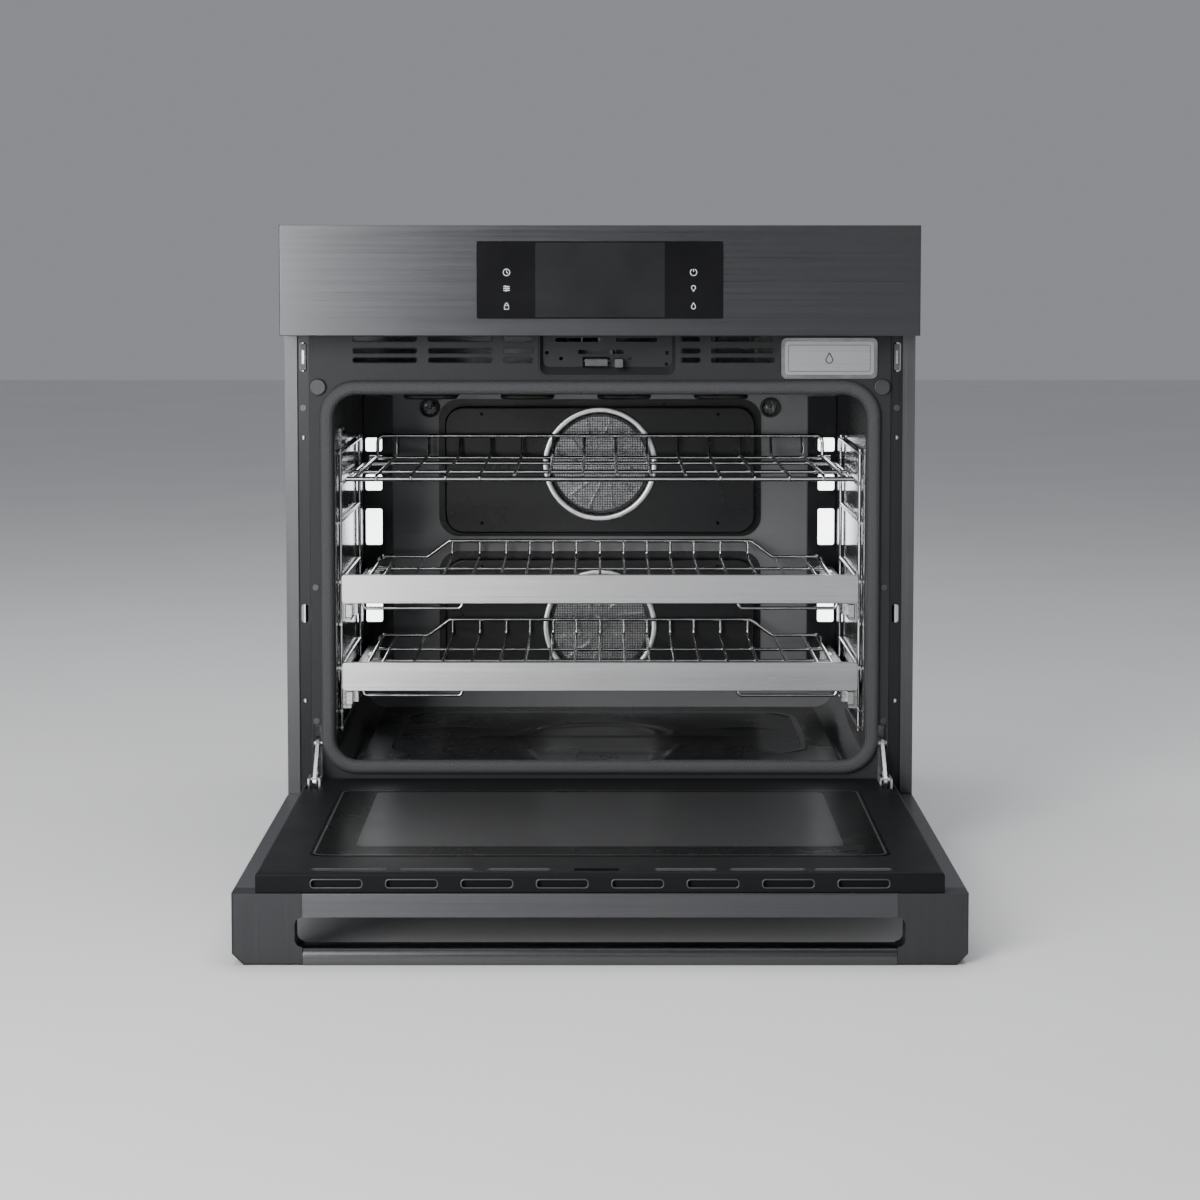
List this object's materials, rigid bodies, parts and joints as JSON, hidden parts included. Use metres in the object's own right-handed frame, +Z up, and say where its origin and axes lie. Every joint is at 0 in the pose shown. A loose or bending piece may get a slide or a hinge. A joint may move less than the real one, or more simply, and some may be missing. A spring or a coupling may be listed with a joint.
{
  "type": "wall oven",
  "caption": "Built-in single wall oven with a drop-down door, wire racks on glide rails, fan baffles, steam water drawer and a touch control panel.",
  "frame": {"origin": "front edge of the chassis underside, on the centre line, in the plane of the cabinet face", "axes": "+X to the right of a person facing the oven, +Y into the cabinet, +Z up"},
  "size_m": [0.759, 1.191, 0.7636],
  "materials": {
    "zinc_sheet": "galvanised satin",
    "frame_black": "satin black enamel",
    "trim_steel": "brushed",
    "dark_steel": "brushed graphite",
    "enamel": "glossy enamel with fine flecks",
    "wool": "glass wool",
    "gasket": "woven glass-fibre braid",
    "black_plastic": "satin",
    "white_plastic": "gloss",
    "bright_steel": "polished",
    "stainless": "brushed",
    "element_steel": "matt oxide",
    "motor_steel": "satin",
    "clear_glass": "clear",
    "dark_glass": "dark, screen-printed border",
    "circuit_board": "green lacquer",
    "tank_plastic": "clear grey",
    "cast_alloy": "cast"
  },
  "bodies": {
    "chassis": {"side_panels": "zinc_sheet", "base_pan": "zinc_sheet", "top_cover": "zinc_sheet", "rear_cover": "zinc_sheet", "front_frame": "frame_black", "front_trims": "trim_steel", "frame_screws": "bright_steel", "oven_cavity": "enamel", "cavity_back": "enamel", "insulation_blanket": "wool", "door_gasket": "gasket", "bumper_caps": "black_plastic", "latch_pocket": "black_plastic", "latch_bracket": "stainless", "upper_fan_baffle": "enamel", "lower_fan_baffle": "enamel", "fan_guards": "bright_steel", "heating_elements": "element_steel", "fan_motors": "motor_steel", "component_deck": "zinc_sheet", "lamp_bezels": "black_plastic", "light_glass": "clear_glass", "light_columns": "enamel", "rack_ladders": "bright_steel", "cavity_sensors": "stainless", "fixed_rails": "stainless", "hinge_receivers": "zinc_sheet", "control_panel": "dark_steel", "display_glass": "dark_glass", "control_boards": "circuit_board", "blower_housing": "zinc_sheet", "junction_box": "zinc_sheet", "reservoir_housing": "white_plastic", "water_pump": "white_plastic", "steam_boiler": "cast_alloy"},
    "door": {"door_skin": "dark_steel", "door_outer_panes": "dark_glass", "door_liner": "frame_black", "door_inner_glass": "dark_glass", "handle_bar": "trim_steel", "handle_mount": "dark_steel", "hinge_brackets": "zinc_sheet"},
    "hinge_links": {"hinge_links": "stainless"},
    "upper_rack": {"upper_rack": "bright_steel"},
    "middle_rack": {"middle_rack": "bright_steel", "middle_rack_trim": "trim_steel", "middle_inner_rails": "stainless"},
    "middle_slides": {"middle_slide_members": "stainless"},
    "lower_rack": {"lower_rack": "bright_steel", "lower_rack_trim": "trim_steel", "lower_inner_rails": "stainless"},
    "lower_slides": {"lower_slide_members": "stainless"},
    "upper_fan": {"upper_fan_wheel": "stainless"},
    "lower_fan": {"lower_fan_wheel": "stainless"},
    "blower": {"blower_wheel": "zinc_sheet"},
    "latch_hook": {"latch_hook": "stainless"},
    "door_switch": {"door_switch_plunger": "black_plastic"},
    "reservoir": {"reservoir_tank": "tank_plastic", "reservoir_bezel": "bright_steel", "reservoir_plate": "trim_steel"}
  },
  "joints": [
    {"name": "door_hinge", "type": "hinge", "parent": "chassis", "child": "door", "pos_m": [0, -0.036, 0.0422], "axis": [1, 0, 0], "range_deg": [-90, 0]},
    {"name": "hinge_link_swing", "type": "hinge", "parent": "chassis", "child": "hinge_links", "pos_m": [0, 0.005, 0.105], "axis": [1, 0, 0], "range_deg": [0, 35.9]},
    {"name": "upper_rack_slide", "type": "slide", "parent": "chassis", "child": "upper_rack", "axis": [0, -1, 0], "range_m": [0, 0.3]},
    {"name": "middle_rack_slide", "type": "slide", "parent": "chassis", "child": "middle_rack", "axis": [0, -1, 0], "range_m": [0, 0.36]},
    {"name": "middle_slide_travel", "type": "slide", "parent": "chassis", "child": "middle_slides", "axis": [0, -1, 0], "range_m": [0, 0.18]},
    {"name": "lower_rack_slide", "type": "slide", "parent": "chassis", "child": "lower_rack", "axis": [0, -1, 0], "range_m": [0, 0.36]},
    {"name": "lower_slide_travel", "type": "slide", "parent": "chassis", "child": "lower_slides", "axis": [0, -1, 0], "range_m": [0, 0.18]},
    {"name": "upper_fan_spin", "type": "hinge", "parent": "chassis", "child": "upper_fan", "pos_m": [0, 0.455, 0.4148], "axis": [0, 1, 0], "continuous": true},
    {"name": "lower_fan_spin", "type": "hinge", "parent": "chassis", "child": "lower_fan", "pos_m": [0, 0.455, 0.1941], "axis": [0, 1, 0], "continuous": true},
    {"name": "blower_spin", "type": "hinge", "parent": "chassis", "child": "blower", "pos_m": [0, 0.33, 0.58], "axis": [0, 0, 1], "continuous": true},
    {"name": "latch_hook_swing", "type": "hinge", "parent": "chassis", "child": "latch_hook", "pos_m": [0, 0.016, 0.5695], "axis": [-1, 0, 0], "range_deg": [0, 25]},
    {"name": "door_switch_press", "type": "slide", "parent": "chassis", "child": "door_switch", "axis": [0, 1, 0], "range_m": [0, 0.004], "stiffness_N_per_m": 300, "springref_m": -0.003},
    {"name": "reservoir_slide", "type": "slide", "parent": "chassis", "child": "reservoir", "axis": [0, -1, 0], "range_m": [0, 0.16]}
  ],
  "couplings": [
    {"joint": "middle_slide_travel", "follows": "middle_rack_slide", "ratio": 0.5},
    {"joint": "lower_slide_travel", "follows": "lower_rack_slide", "ratio": 0.5},
    {"joint": "hinge_link_swing", "follows": "door_hinge", "ratio": -0.39889}
  ]
}
